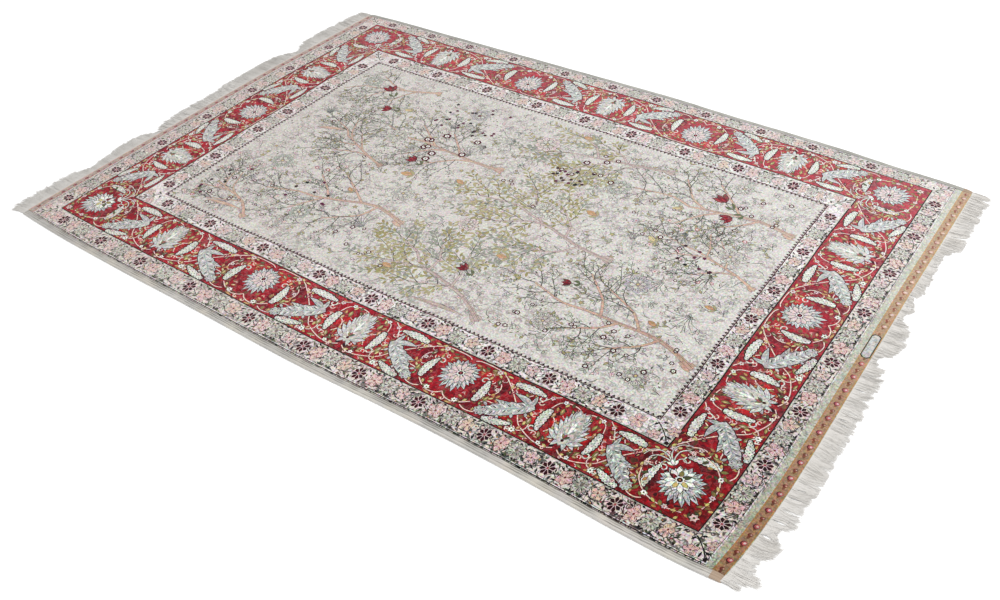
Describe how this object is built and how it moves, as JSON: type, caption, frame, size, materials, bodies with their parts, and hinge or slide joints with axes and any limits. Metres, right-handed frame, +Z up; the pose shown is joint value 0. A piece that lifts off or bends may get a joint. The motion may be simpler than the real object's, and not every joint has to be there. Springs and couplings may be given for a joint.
{
  "type": "hereke rug",
  "caption": "Flat rectangular hand-knotted silk rug with a patterned pile, flat-woven ends, corded long edges and a loose fringe along each short end.",
  "frame": {"origin": "on the floor, under the middle of the rug and its two fringes", "axes": "+X along the length towards the end with the wider flat-woven band, +Y across the width, +Z up from the floor"},
  "size_m": [1.603, 1.0712, 0.004],
  "materials": {
    "pile": "cut silk pile, soft sheen",
    "selvedge": "wrapped silk cord, soft sheen",
    "fringe": "loose silk yarn, soft sheen"
  },
  "bodies": {
    "root": {"woven_cloth": "pile", "selvedge_front": "selvedge", "selvedge_back": "selvedge", "fringe_left": "fringe", "fringe_right": "fringe"}
  },
  "joints": []
}
